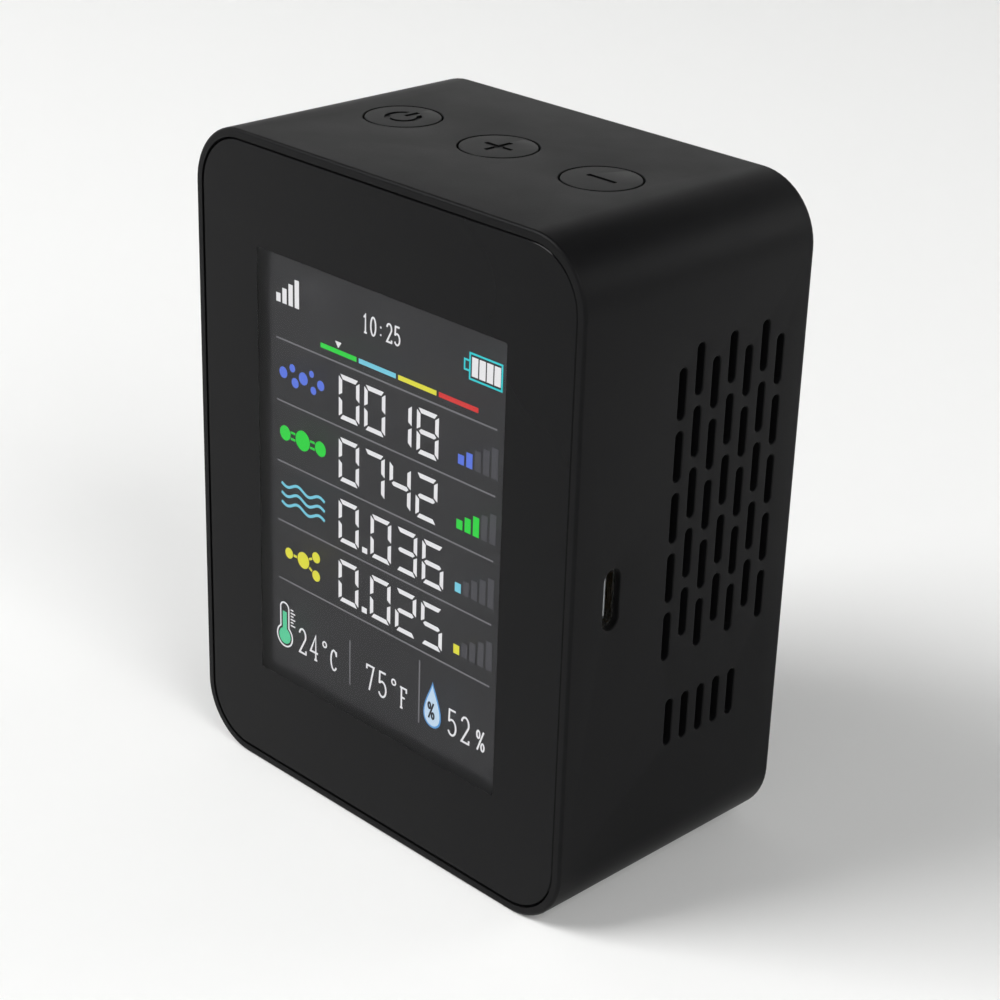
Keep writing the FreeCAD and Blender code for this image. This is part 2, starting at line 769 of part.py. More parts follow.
def make_co2_sensor_chamber():
    """The gas cell: a plated box with two filter windows let into its rear face."""
    middle = co2_x + co2_chamber[0] / 2
    size = (co2_chamber[0] - co2_cell_inset[0], co2_chamber[1], co2_chamber[2] - co2_cell_inset[1])
    cell = on_board(middle, co2_centre, size, co2_stand_off + co2_board_thickness)
    upright_edges = [e for e in cell.Edges if e.BoundBox.YLength > size[1] / 2]
    cell = cell.makeChamfer(co2_cell_chamfer, upright_edges)
    return cell.cut(co2_windows(0.0))


def co2_windows(clearance):
    """The two filter windows as solids, let into the chamber's rear face."""
    width, height, depth = co2_window
    middle = co2_x + co2_chamber[0] / 2
    top = co2_stand_off + co2_board_thickness + co2_chamber[1]
    shapes = []
    for side in (-1, 1):
        size = (width - clearance, depth, height - clearance)
        shapes.append(on_board(middle + side * co2_window_side, co2_centre, size, top - depth))
    return Part.makeCompound(shapes)


def make_button_board():
    """The small board under the buttons, hung from two posts."""
    half_x = button_pitch + switch_size / 2 + button_board_end
    y = (case_depth / 2 - button_board_width / 2, case_depth / 2 + button_board_width / 2)
    board = block((-half_x, half_x), y, (button_board_top - button_board_thickness, button_board_top))
    for side in (-1, 1):
        low = button_board_top - button_board_thickness - overrun
        start = (side * button_pitch / 2, case_depth / 2, low)
        length = button_board_thickness + 2 * overrun
        board = board.cut(rod(screw_radius + screw_clearance, start, length, (0, 0, 1)))
    return board


def make_button_board_screws():
    """Two screws that hold the button board up against its posts."""
    low = button_board_top - button_board_thickness
    screws = []
    for side in (-1, 1):
        start = (side * button_pitch / 2, case_depth / 2, low)
        screws.append(screw(start, button_screw_length - screw_spare, (0, 0, 1)))
    return Part.makeCompound(screws)


def make_switch_body(x):
    """One push switch's housing, hollow for its plunger."""
    half = switch_size / 2
    middle = case_depth / 2
    top = button_board_top + switch_height
    body = block((x - half, x + half), (middle - half, middle + half), (button_board_top, top))
    depth = plunger_in + 2 * button_travel
    hole = rod(plunger_radius + plunger_clearance, (x, middle, top - depth), depth + overrun, (0, 0, 1))
    return body.cut(hole)


def make_plunger(x):
    """The switch's round plunger, which the button's stem rests on."""
    top = button_board_top + switch_height
    return rod(plunger_radius, (x, case_depth / 2, top - plunger_in), plunger_in + plunger_out, (0, 0, 1))


def bar(x, y, length, width, turned):
    """A flat cutter for one stroke of a symbol in a button's top face."""
    along = (length, width) if not turned else (width, length)
    low = case_height - symbol_depth
    return block(
        (x - along[0] / 2, x + along[0] / 2),
        (y - along[1] / 2, y + along[1] / 2),
        (low, low + overrun),
    )


def power_symbol(x):
    """A broken ring with a bar in its gap."""
    low = case_height - symbol_depth
    middle = case_depth / 2
    height = 2 * overrun
    ring = rod(power_symbol_radius + symbol_stroke / 2, (x, middle, low), height, (0, 0, 1))
    ring = ring.cut(rod(power_symbol_radius - symbol_stroke / 2, (x, middle, low), height, (0, 0, 1)))
    gap = (x - power_symbol_gap, x + power_symbol_gap)
    ring = ring.cut(block(gap, (middle, middle + 2 * power_symbol_radius), (low, low + height)))
    stroke_end = middle + power_symbol_radius + symbol_stroke / 2 + power_stroke_rise
    return [ring, bar(x, stroke_end - power_stroke / 2, power_stroke, symbol_stroke, True)]


def plus_symbol(x):
    """Two crossed bars."""
    middle = case_depth / 2
    return [bar(x, middle, sign_length, symbol_stroke, turned) for turned in (False, True)]


def minus_symbol(x):
    """One bar across the button."""
    return [bar(x, case_depth / 2, sign_length, symbol_stroke, False)]


def make_cap(x, symbol):
    """A flush round button with a hidden flange, a stem and an engraved symbol."""
    middle = case_depth / 2
    top = rod(cap_diameter / 2, (x, middle, flange_top), case_height - flange_top, (0, 0, 1))
    rim = [e for e in top.Edges if abs(e.BoundBox.ZMin - case_height) < 0.01]
    top = top.makeFillet(cap_edge, rim)
    flange_low = flange_top - flange_thickness
    flange_radius = cap_diameter / 2 + cap_gap + cap_flange
    flange = rod(flange_radius, (x, middle, flange_low), flange_thickness, (0, 0, 1))
    stem = rod(cap_stem_radius, (x, middle, stem_bottom), flange_low - stem_bottom, (0, 0, 1))
    return top.fuse([flange, stem]).removeSplitter().cut(symbol(x))


def make_button_ribbon():
    """The flat cable from the button board down to the main board."""
    low = button_board_top - button_board_thickness
    depth = case_depth / 2 - button_board_width / 2 + ribbon_inset
    drop = ribbon_height - ribbon_thickness / 2
    x = (-ribbon_width / 2, ribbon_width / 2)
    down = block(x, (depth, depth + ribbon_thickness), (drop, low))
    start = board_back + button_connector[1]
    foot = block(x, (start, depth + ribbon_thickness), (drop, drop + ribbon_thickness))
    return down.fuse(foot).removeSplitter()


def make_button_connector():
    """The socket on the main board for the button board's flat cable."""
    return on_board(0, ribbon_height, button_connector)


parts = {
    "housing": make_housing(),
    "rear_cover": make_rear_cover(),
    "cover_screws": make_cover_screws(),
    "front_lens": make_front_lens(),
    "lens_tape": make_lens_tape(),
    "lcd_gasket": make_lcd_gasket(),
    "lcd_glass": make_lcd_glass(),
    "backlight_tray": make_backlight_tray(),
    "light_guide": make_light_guide(),
    "lcd_flex": make_lcd_flex(),
    "lcd_connector": make_lcd_connector(),
    "lcd_foam_pads": make_lcd_pads(),
    "main_board": make_main_board(),
    "board_screws": make_board_screws(),
    "usb_shell": make_usb_shell(),
    "usb_tongue": make_usb_tongue(),
    "microcontroller": chip(microcontroller),
    "radio_board": chip(radio_board),
    "radio_shield": chip(radio_shield, radio_board[2][1]),
    "crystal": chip(crystal),
    "capacitors": make_capacitors(),
    "charger_chip": front_chip(charger_chip),
    "power_inductor": front_chip(power_inductor),
    "battery_pouch": make_battery_pouch(),
    "battery_tape": make_battery_tape(),
    "battery_leads": make_battery_leads(),
    "battery_plug": on_board(-lead_side, lead_height, battery_plug, battery_socket[1]),
    "battery_socket": on_board(-lead_side, lead_height, battery_socket),
    "dust_sensor_case": make_dust_sensor_case(),
    "dust_sensor_lid": make_dust_sensor_lid(),
    "dust_sensor_pad": make_dust_sensor_pad(),
    "dust_sensor_pins": pins(dust_x, dust_centre, dust_pins, dust_stand_off),
    "fan_bearing": make_fan_bearing(),
    "fan_shaft": make_fan_shaft(),
    "fan_rotor": make_fan_rotor(),
    "co2_sensor_board": make_co2_sensor_board(),
    "co2_sensor_chamber": make_co2_sensor_chamber(),
    "co2_sensor_filters": co2_windows(co2_filter_gap),
    "co2_sensor_pins": pins(co2_x, co2_centre, co2_pins, co2_stand_off),
    "formaldehyde_sensor": can(formaldehyde_can),
    "voc_sensor": can(voc_can),
    "climate_sensor": on_board(board_side - climate_sensor[0], low_slot_height, climate_sensor[1]),
    "buzzer": can(buzzer_can),
    "button_board": make_button_board(),
    "button_board_screws": make_button_board_screws(),
    "button_ribbon": make_button_ribbon(),
    "button_connector": make_button_connector(),
}

buttons = {
    "power": (-button_pitch, power_symbol),
    "plus": (0.0, plus_symbol),
    "minus": (button_pitch, minus_symbol),
}
for name, (x, symbol) in buttons.items():
    parts[name + "_button"] = make_cap(x, symbol)
    parts[name + "_plunger"] = make_plunger(x)
    parts[name + "_switch"] = make_switch_body(x)

os.makedirs("parts", exist_ok=True)
for name, shape in parts.items():
    shape.exportStep("parts/" + name + ".step")
    print(name, len(shape.Solids), round(shape.Volume, 2), shape.isValid())
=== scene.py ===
"""Looks of the desk carbon dioxide monitor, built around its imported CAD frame.

Everything is in metres in the CAD frame: +Z up, the display faces -Y, the vents are on +X.
Sizes named in this script are millimetres unless they say otherwise; they turn to metres where
a mesh is made.
"""
import json
import math

import bmesh
import bpy
import numpy as np
from mathutils import Matrix, Vector


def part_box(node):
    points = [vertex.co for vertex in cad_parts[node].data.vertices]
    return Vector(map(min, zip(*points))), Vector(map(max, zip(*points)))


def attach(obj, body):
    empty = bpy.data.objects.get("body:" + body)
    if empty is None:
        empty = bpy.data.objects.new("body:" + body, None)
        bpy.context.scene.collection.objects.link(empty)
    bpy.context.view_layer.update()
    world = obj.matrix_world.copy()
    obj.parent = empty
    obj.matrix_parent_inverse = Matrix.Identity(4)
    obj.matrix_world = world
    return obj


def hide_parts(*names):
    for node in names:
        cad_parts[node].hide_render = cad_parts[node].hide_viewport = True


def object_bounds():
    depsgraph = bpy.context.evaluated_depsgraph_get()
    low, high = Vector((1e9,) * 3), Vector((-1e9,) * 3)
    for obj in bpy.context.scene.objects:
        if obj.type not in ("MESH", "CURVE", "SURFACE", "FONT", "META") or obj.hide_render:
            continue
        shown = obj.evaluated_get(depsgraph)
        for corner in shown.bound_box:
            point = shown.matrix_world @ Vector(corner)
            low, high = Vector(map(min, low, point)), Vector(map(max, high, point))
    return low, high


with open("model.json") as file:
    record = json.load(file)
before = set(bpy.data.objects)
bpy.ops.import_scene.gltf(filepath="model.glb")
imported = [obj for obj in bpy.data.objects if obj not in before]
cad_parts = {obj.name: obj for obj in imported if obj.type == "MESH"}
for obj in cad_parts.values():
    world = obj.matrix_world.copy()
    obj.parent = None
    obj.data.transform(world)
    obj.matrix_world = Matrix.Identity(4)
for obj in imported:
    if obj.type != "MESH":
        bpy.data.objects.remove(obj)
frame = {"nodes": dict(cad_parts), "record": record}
cad_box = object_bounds()
MM = 0.001

LENS_CORNER = 8.18  # corner radius of the lens
LENS_CHAMFER = 0.25
WINDOW = (50.2, 67.1)  # clear opening in the printed border
WINDOW_CORNER = 0.3
WINDOW_SPREAD = 1.3  # how much wider the clear part is behind, on each side
DISPLAY_CENTRE = 50.4  # height of the display's middle

ACTIVE = (48.6, 64.8)  # lit area of the display
DOT_PITCH = 0.2025  # pitch of its picture dots
LAYER = 0.03  # thickness of one layer of the picture
LAYER_GAP = 0.01  # clear of the display glass
FIGURE = (4.3, 6.7, 5.35)  # seven-segment figure: width, height, pitch
FIGURE_BAR = (0.125, 0.05)  # thickness of a figure's bars and gap between them, as shares of its height
FIGURE_LEFT = 15.4
FIGURE_DROP = 1.5  # top of the figures, down from the divider
FIGURE_DOT = (1.05, 0.85, 1.5)  # decimal point: width, height, and how far it moves the next figure
RULE = (1.8, 45.0, 0.24)  # divider: left end, length, thickness
ROW_TOP = 12.0  # first divider, down from the top of the lit area
ROW_PITCH = 9.55
SIGN_LEFT = 2.4  # left edge of the signs in front of the readings
SIGN_DROP = 4.8  # their middle, down from the divider
LEVEL_LEFT = 39.6  # left edge of the level bars behind the readings
LEVEL_BAR = (1.15, 1.6, 1.4, 0.75)  # a level bar: width, pitch, first height, rise of each next one
LEVEL_COUNT = 5
LEVEL_DROP = 7.1  # foot of the bars, down from the divider
CLIMATE_BASE = 61.0  # baseline of the bottom row
DROP_FULLNESS = 0.62  # half-width factor and pointedness of the drop
DROP_POINT = 1.6

TONGUE_THICKNESS = 0.7
CONTACT = (3.4, 0.04, 0.26)  # length, thickness, width
CONTACT_COUNT = 12
CONTACT_PITCH = 0.5
CONTACT_INSET = 0.3
TIP_PLATE = (0.08, 0.3, 5.8)

FLOOR_FLAT = 1.7  # metres: flat part's radius, bend's radius, wall's height
FLOOR_BEND = 1.2
WALL_TOP = 2.0
FLOOR_BEND_STEPS = 17
FLOOR_SIDES = 96
PALE_UP_TO = 27.0  # elevations in degrees between which the studio's air turns dark
DARK_FROM = 46.0

VIEW_AZIMUTH = 44.69  # camera: degrees right of the front, degrees up, degrees of roll
VIEW_ELEVATION = 24.60
VIEW_ROLL = 1.89
VIEW_DISTANCE = 0.3407  # metres from the object's middle, and how far the camera steps aside and down
VIEW_ASIDE = 0.0018
VIEW_DOWN = 0.0030
VIEW_LENS = 84.0  # focal length on a sensor 36 mm wide
VIEW_SENSOR = 36.0
VIEW_NEAREST = 0.01
LAMP_AIM = (0.0, 0.0, 0.05)  # metres: the object's middle, which every lamp faces

WELD = 1e-7  # metres within which a copy's loose corners are joined
COPY_ANGLE = 28.0  # degrees: sharper edges stay crisp on the copies and on the new pieces
PIECE_ANGLE = 30.0


# ---------------------------------------------------------------- colour and material helpers
def linear(hex_colour):
    """An sRGB hex string as linear RGBA."""
    values = [int(hex_colour[i : i + 2], 16) / 255 for i in (1, 3, 5)]
    return [v / 12.92 if v <= 0.04045 else ((v + 0.055) / 1.055) ** 2.4 for v in values] + [1.0]


def per(size_mm):
    """The pattern scale that gives features of this size in millimetres on metre coordinates."""
    return 1 / (size_mm * MM)


def add_node(tree, kind, settings=(), sources=(), output=0, feeds=None):
    """Adds a node with its settings and links, and returns the chosen output, which may feed a socket."""
    node = tree.nodes.new(kind)
    for key, value in dict(settings).items():
        if isinstance(key, str) and hasattr(node, key):
            setattr(node, key, value)
        else:
            node.inputs[key].default_value = value
    for key, source in dict(sources).items():
        tree.links.new(source, node.inputs[key])
    if feeds is not None:
        tree.links.new(node.outputs[output], feeds)
    return node.outputs[output]


def start_material(name, constants):
    """A new material with these shader constants, its tree, its shader's sockets and coordinates."""
    material = bpy.data.materials.new(name)
    material.use_nodes = True
    tree = material.node_tree
    sockets = tree.nodes["Principled BSDF"].inputs
    for key, value in constants.items():
        sockets[key].default_value = value
    return material, tree, sockets, add_node(tree, "ShaderNodeTexCoord", output="Object")


# ---------------------------------------------------------------- materials
# Kinds of node that most finishes share.
NOISE = "ShaderNodeTexNoise"
PEBBLES = "ShaderNodeTexVoronoi"
BRICKS = "ShaderNodeTexBrick"
MIX = "ShaderNodeMix"
RANGE = "ShaderNodeMapRange"
BUMP = "ShaderNodeBump"
MAPPING = "ShaderNodeMapping"
UPRIGHT = {"Rotation": (math.pi / 2, 0.0, 0.0)}  # lays a flat pattern on a surface that faces -Y


def ends(low_hex, high_hex):
    """Settings of a colour mix that runs between two hex colours."""
    return {"data_type": "RGBA", 6: linear(low_hex), 7: linear(high_hex)}


def moulded_plastic(name, low_hex, high_hex, grain_mm, grain_depth_mm, rough, gloss=0.5):
    """Injection moulded thermoplastic.

    Spark erosion of the mould leaves an even fine grain that breaks up the gloss; the real grain
    is about 0.05 mm and is drawn at `grain_mm` so that it shows. Colour and roughness drift
    slightly over 18 mm and 6 mm, as flow in the mould leaves them.
    """
    constants = {"IOR": 1.53, "Roughness": rough, "Specular IOR Level": gloss}
    material, tree, sockets, place = start_material(name, constants)
    flow = add_node(tree, NOISE, {"Scale": per(18.0), "Detail": 3.0}, {"Vector": place})
    add_node(tree, MIX, ends(low_hex, high_hex), {0: flow}, 2, sockets["Base Color"])
    polish = add_node(tree, NOISE, {"Scale": per(6.0), "Detail": 2.0}, {"Vector": place})
    spread = {"To Min": rough - 0.03, "To Max": rough + 0.04}
    add_node(tree, RANGE, spread, {"Value": polish}, 0, sockets["Roughness"])
    grain = add_node(tree, NOISE, {"Scale": per(grain_mm), "Detail": 3.0}, {"Vector": place})
    depth = {"Distance": grain_depth_mm * MM, "Strength": 0.5}
    add_node(tree, BUMP, depth, {"Height": grain}, 0, sockets["Normal"])
    return material


def metal(name, low_hex, high_hex, rough, texture_mm=0.3, stretch=1.0):
    """Bare or plated metal.

    Clouds of tone over 2.5 mm come from the plating. `texture_mm` is the size of its grain; a
    stretch under 1 draws the grain out along Z into rolling or brushing lines.
    """
    material, tree, sockets, place = start_material(name, {"Metallic": 1.0, "Roughness": rough})
    cloud = add_node(tree, NOISE, {"Scale": per(2.5), "Detail": 3.0}, {"Vector": place})
    add_node(tree, MIX, ends(low_hex, high_hex), {0: cloud}, 2, sockets["Base Color"])
    drawn = add_node(tree, MAPPING, {"Scale": (1.0, 1.0, stretch)}, {"Vector": place})
    grain = add_node(tree, NOISE, {"Scale": per(texture_mm), "Detail": 2.0}, {"Vector": drawn})
    spread = {"To Min": rough - 0.06, "To Max": rough + 0.1}
    add_node(tree, RANGE, spread, {"Value": grain}, 0, sockets["Roughness"])
    add_node(tree, BUMP, {"Distance": 0.004 * MM}, {"Height": grain}, 0, sockets["Normal"])
    return material


def foam(name, low_hex, high_hex):
    """Open-cell polyurethane foam, fully matt: its 0.35 mm cells make it look pebbled."""
    material, tree, sockets, place = start_material(name, {"IOR": 1.5, "Roughness": 0.95})
    bubbles = add_node(tree, PEBBLES, {"Scale": per(0.35)}, {"Vector": place})
    add_node(tree, MIX, ends(low_hex, high_hex), {0: bubbles}, 2, sockets["Base Color"])
    add_node(tree, BUMP, {"Distance": 0.12 * MM}, {"Height": bubbles}, 0, sockets["Normal"])
    return material


def moulded_epoxy(name, low_hex, high_hex):
    """Transfer-moulded epoxy of chips: nearly black and satin, with 0.12 mm pits from its filler."""
    material, tree, sockets, place = start_material(name, {"IOR": 1.55, "Roughness": 0.55})
    grit = add_node(tree, NOISE, {"Scale": per(0.12), "Detail": 4.0}, {"Vector": place})
    add_node(tree, MIX, ends(low_hex, high_hex), {0: grit}, 2, sockets["Base Color"])
    depth = {"Distance": 0.01 * MM, "Strength": 0.6}
    add_node(tree, BUMP, depth, {"Height": grit}, 0, sockets["Normal"])
    return material


def solder_mask():
    """Green solder mask over copper: tracks 1.27 mm apart show as lighter, slightly raised lines."""
    material, tree, sockets, place = start_material("solder_mask_green", {"IOR": 1.55, "Roughness": 0.3})
    flat = add_node(tree, MAPPING, UPRIGHT, {"Vector": place})
    tracks = {
        "Scale": per(2.54),
        "Color1": (0.0, 0.0, 0.0, 1.0),
        "Color2": (0.0, 0.0, 0.0, 1.0),
        "Mortar": (1.0, 1.0, 1.0, 1.0),
        "Mortar Size": 0.06,
        "Mortar Smooth": 0.3,
        "Brick Width": 1.9,
        "Row Height": 0.5,
    }
    lines = add_node(tree, BRICKS, tracks, {"Vector": flat})
    add_node(tree, MIX, ends("#0c3a20", "#1d6a3a"), {0: lines}, 2, sockets["Base Color"])
    add_node(tree, BUMP, {"Distance": 0.03 * MM}, {"Height": lines}, 0, sockets["Normal"])
    return material


def polyimide_film():
    """Amber polyimide film over copper conductors 1 mm apart, which show as stripes along Z."""
    material, tree, sockets, place = start_material("polyimide_film", {"IOR": 1.7, "Roughness": 0.25})
    # The wave texture repeats every tau / 20 units at scale 1.
    bands = {"Scale": per(1.0) * math.tau / 20, "Distortion": 0.0, "bands_direction": "X"}
    stripes = add_node(tree, "ShaderNodeTexWave", bands, {"Vector": place}, "Fac")
    add_node(tree, MIX, ends("#8a4b12", "#c47a2a"), {0: stripes}, 2, sockets["Base Color"])
    add_node(tree, BUMP, {"Distance": 0.02 * MM}, {"Height": stripes}, 0, sockets["Normal"])
    return material


def backlit_colour(name, hex_colour):
    """A lit area of the display: even light crossed by the darker grid between its picture dots."""
    constants = {"Base Color": linear("#050505"), "Roughness": 0.5, "Emission Strength": 1.0}
    material, tree, sockets, place = start_material(name, constants)
    flat = add_node(tree, MAPPING, UPRIGHT, {"Vector": place})
    lattice = {
        "Scale": per(DOT_PITCH),
        "offset": 0.0,
        "Color1": (1.0, 1.0, 1.0, 1.0),
        "Color2": (1.0, 1.0, 1.0, 1.0),
        "Mortar": (0.86, 0.86, 0.86, 1.0),
        "Mortar Size": 0.11,
        "Brick Width": 1.0,
        "Row Height": 1.0,
    }
    dots = add_node(tree, BRICKS, lattice, {"Vector": flat})
    tint = {"data_type": "RGBA", "blend_type": "MULTIPLY", 0: 1.0, 7: linear(hex_colour)}
    add_node(tree, MIX, tint, {6: dots}, 2, sockets["Emission Color"])
    return material


def hard_coated_face():
    """Outer face of the window: clear acrylic whose hard coat keeps a weak, slightly smeared gloss."""
    material, tree, _, place = start_material("clear_acrylic_outer_face", {})
    tree.nodes.remove(tree.nodes["Principled BSDF"])
    surface = tree.nodes["Material Output"].inputs["Surface"]
    clear = add_node(tree, "ShaderNodeBsdfTransparent", {"Color": linear("#f4f4f5")})
    smear = add_node(tree, NOISE, {"Scale": per(22.0), "Detail": 2.0}, {"Vector": place})
    dull = add_node(tree, RANGE, {"To Min": 0.08, "To Max": 0.14}, {"Value": smear})
    white = {"Color": (1.0, 1.0, 1.0, 1.0)}
    gloss = add_node(tree, "ShaderNodeBsdfGlossy", white, {"Roughness": dull})
    share = add_node(tree, "ShaderNodeFresnel", {"IOR": 1.18})
    add_node(tree, "ShaderNodeMixShader", {}, {0: share, 1: clear, 2: gloss}, 0, surface)
    return material


def bonded_face():
    """Inner face of the window: nothing but see-through, as it lies close to the display."""
    material, tree, _, _ = start_material("clear_acrylic_inner_face", {})
    tree.nodes.remove(tree.nodes["Principled BSDF"])
    surface = tree.nodes["Material Output"].inputs["Surface"]
    add_node(tree, "ShaderNodeBsdfTransparent", {"Color": linear("#f4f4f5")}, feeds=surface)
    return material


def printed_acrylic():
    """Polished acrylic with black ink printed behind it: deep black under a hard even gloss."""
    constants = {"IOR": 1.49, "Roughness": 0.12, "Specular IOR Level": 0.09}
    material, tree, sockets, place = start_material("black_printed_acrylic", constants)
    cloud = add_node(tree, NOISE, {"Scale": per(24.0), "Detail": 2.0}, {"Vector": place})
    add_node(tree, MIX, ends("#0c0c0d", "#0f0f10"), {0: cloud}, 2, sockets["Base Color"])
    add_node(tree, RANGE, {"To Min": 0.1, "To Max": 0.16}, {"Value": cloud}, 0, sockets["Roughness"])
    return material


def polariser_on_glass():
    """The unlit display cell: dark neutral grey polariser film on glass, with a faint anti-glare haze."""
    material, tree, sockets, place = start_material("polariser_on_glass", {"IOR": 1.5, "Roughness": 0.35})
    cloud = add_node(tree, NOISE, {"Scale": per(30.0), "Detail": 1.0}, {"Vector": place})
    add_node(tree, MIX, ends("#252527", "#29292b"), {0: cloud}, 2, sockets["Base Color"])
    haze = add_node(tree, NOISE, {"Scale": per(0.25), "Detail": 2.0}, {"Vector": place})
    depth = {"Distance": 0.003 * MM, "Strength": 0.3}
    add_node(tree, BUMP, depth, {"Height": haze}, 0, sockets["Normal"])
    return material


def light_guide_acrylic():
    """Clear acrylic with white dots 0.8 mm apart that scatter the backlight."""
    constants = {"IOR": 1.49, "Roughness": 0.2}
    material, tree, sockets, place = start_material("light_guide_acrylic", constants)
    dots = add_node(tree, PEBBLES, {"Scale": per(0.8)}, {"Vector": place})
    add_node(tree, MIX, ends("#ffffff", "#c9d4da"), {0: dots}, 2, sockets["Base Color"])
    add_node(tree, BUMP, {"Distance": 0.03 * MM}, {"Height": dots}, 0, sockets["Normal"])
    return material


def ptfe_membrane():
    """White porous membrane: matt, with felt-like fibres drawn 0.2 mm wide so that they show."""
    material, tree, sockets, place = start_material("ptfe_membrane", {"IOR": 1.38, "Roughness": 0.9})
    fibres = add_node(tree, NOISE, {"Scale": per(0.2), "Detail": 6.0}, {"Vector": place})
    add_node(tree, MIX, ends("#d2d2ce", "#f2f2ee"), {0: fibres}, 2, sockets["Base Color"])
    add_node(tree, BUMP, {"Distance": 0.05 * MM}, {"Height": fibres}, 0, sockets["Normal"])
    return material


def aluminium_laminate():
    """Crimped aluminium laminate of a pouch cell: satin, with shallow wrinkles about 3.5 mm long."""
    constants = {"Metallic": 1.0, "Roughness": 0.38}
    material, tree, sockets, place = start_material("aluminium_laminate", constants)
    wrinkles = add_node(tree, NOISE, {"Scale": per(3.5), "Detail": 4.0}, {"Vector": place})
    add_node(tree, MIX, ends("#a9acb0", "#c6c8ca"), {0: wrinkles}, 2, sockets["Base Color"])
    depth = {"Distance": 0.12 * MM, "Strength": 0.6}
    add_node(tree, BUMP, depth, {"Height": wrinkles}, 0, sockets["Normal"])
    return material


def silicone_insulation():
    """Soft silicone insulation, red on one lead and black on the other, parted at the pair's middle."""
    constants = {"IOR": 1.41, "Roughness": 0.5}
    material, tree, sockets, place = start_material("silicone_insulation", constants)
    low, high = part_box("battery_leads")
    across = add_node(tree, "ShaderNodeSeparateXYZ", {}, {0: place}, "X")
    beyond = {"operation": "GREATER_THAN", 1: (low.x + high.x) / 2}
    side = add_node(tree, "ShaderNodeMath", beyond, {0: across})
    add_node(tree, MIX, ends("#b3201c", "#161616"), {0: side}, 2, sockets["Base Color"])
    skin = add_node(tree, NOISE, {"Scale": per(0.4), "Detail": 2.0}, {"Vector": place})
    add_node(tree, BUMP, {"Distance": 0.02 * MM}, {"Height": skin}, 0, sockets["Normal"])
    return material


finishes = {
    "case_plastic": moulded_plastic("moulded_abs_black", "#0b0b0c", "#0e0e0f", 0.3, 0.016, 0.42, 0.08),
    "button_plastic": moulded_plastic("moulded_abs_button", "#0c0c0d", "#0f0f10", 0.3, 0.012, 0.4, 0.08),
    "screw_steel": metal("black_zinc_steel", "#26272a", "#34353a", 0.35),
    "lens_acrylic": printed_acrylic(),
    "adhesive_tape": foam("acrylic_foam_tape", "#1c1c1c", "#262626"),
    "black_foam": foam("open_cell_foam", "#161616", "#242424"),
    "display_glass": polariser_on_glass(),
    "light_guide_acrylic": light_guide_acrylic(),
    "tray_steel": metal("rolled_steel_tray", "#a8abae", "#c2c4c6", 0.35, 0.2, 0.05),
    "flex_film": polyimide_film(),
    "connector_nylon": moulded_plastic("natural_nylon", "#cfc9b6", "#ddd8c8", 0.3, 0.01, 0.45),
    "circuit_board": solder_mask(),
    "socket_steel": metal("nickel_plated_steel", "#b4b2ac", "#cfcdc8", 0.25, 0.15, 0.05),
    "socket_insulator": moulded_plastic("black_nylon", "#121212", "#191919", 0.2, 0.006, 0.4),
    "chip_resin": moulded_epoxy("chip_epoxy", "#141415", "#202022"),
    "capacitor_can": metal("etched_aluminium", "#b9bcbf", "#d0d2d4", 0.3, 0.3, 0.05),
    "battery_foil": aluminium_laminate(),
    "lead_insulation": silicone_insulation(),
    "dust_sensor_plastic": moulded_plastic("moulded_abs_blue", "#142b52", "#18325c", 0.3, 0.012, 0.42),
    "pin_brass": metal("gold_plated_brass", "#c9a24a", "#dcb861", 0.25),
    "plated_brass": metal("gold_flash_chamber", "#a98443", "#bd9a58", 0.3, 0.3, 0.05),
    "filter_membrane": ptfe_membrane(),
    "sensor_can": metal("drawn_steel_can", "#a7a9ab", "#c0c2c4", 0.3, 0.25, 0.05),
    "switch_plastic": moulded_plastic("switch_nylon", "#17171a", "#222226", 0.2, 0.008, 0.45),
    "plunger_plastic": moulded_plastic("plunger_nylon", "#151515", "#1e1e1e", 0.2, 0.008, 0.4),
    "fan_plastic": moulded_plastic("fan_pbt", "#161618", "#202022", 0.25, 0.01, 0.45),
    "shaft_steel": metal("ground_shaft_steel", "#b0b2b5", "#c8cacc", 0.2, 0.1, 0.05),
}


# ---------------------------------------------------------------- mesh helpers
def put_mesh(name, points, faces, materials, face_slots=None):
    """Makes an object from points in metres and faces given as lists of point numbers."""
    mesh = bpy.data.meshes.new(name)
    mesh.from_pydata(np.asarray(points, float).tolist(), [], faces)
    for material in materials:
        mesh.materials.append(material)
    if face_slots is not None:
        mesh.polygons.foreach_set("material_index", np.asarray(face_slots, np.int32))
    soften(mesh, PIECE_ANGLE)
    piece = bpy.data.objects.new(name, mesh)
    bpy.context.scene.collection.objects.link(piece)
    return piece


def soften(mesh, angle):
    """Smooth shading, with edges sharper than this angle in degrees kept crisp."""
    mesh.shade_smooth()
    mesh.set_sharp_from_angle(angle=math.radians(angle))


def face_outwards(mesh):
    """Turns every face of a closed mesh outwards."""
    work = bmesh.new()
    work.from_mesh(mesh)
    bmesh.ops.recalc_face_normals(work, faces=work.faces)
    work.to_mesh(mesh)
    work.free()


def finished_copy(node, slot, body):
    """A welded, smooth-shaded copy of a CAD node in its finish, which stands for the node."""
    mesh = frame["nodes"][node].data.copy()
    mesh.name = node + "_finished"
    work = bmesh.new()
    work.from_mesh(mesh)
    bmesh.ops.remove_doubles(work, verts=work.verts, dist=WELD)
    work.to_mesh(mesh)
    work.free()
    if mesh.attributes.get("custom_normal"):
        mesh.attributes.remove(mesh.attributes["custom_normal"])
    soften(mesh, COPY_ANGLE)
    mesh.materials.clear()
    mesh.materials.append(finishes[slot])
    piece = bpy.data.objects.new(node + "_finished", mesh)
    bpy.context.scene.collection.objects.link(piece)
    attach(piece, body)
    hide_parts(node)


